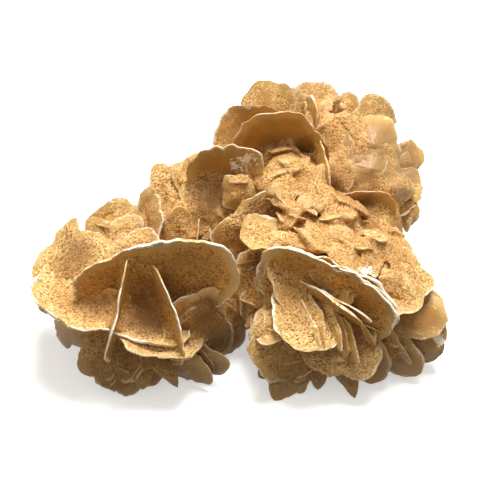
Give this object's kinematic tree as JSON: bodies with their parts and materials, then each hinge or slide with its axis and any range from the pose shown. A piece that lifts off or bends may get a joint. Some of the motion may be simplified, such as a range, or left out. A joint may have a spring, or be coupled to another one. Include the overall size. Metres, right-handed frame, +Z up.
{
  "type": "gypsum sand rose",
  "caption": "Sand rose: lens-shaped gypsum blades grown through one another in sandy rosettes, with flat worn feet so it rests on a shelf for display.",
  "frame": {"origin": "middle of the bounding box, at the level of the ground the stone rests on", "axes": "+Z up, -Y towards the viewer of the picture, +X to that viewer's right"},
  "size_m": [0.1212, 0.0996, 0.0533],
  "materials": {
    "gypsum": "sandy golden-brown gypsum with chalky white blade edges"
  },
  "bodies": {
    "root": {"sand_rose": "gypsum"}
  },
  "joints": []
}
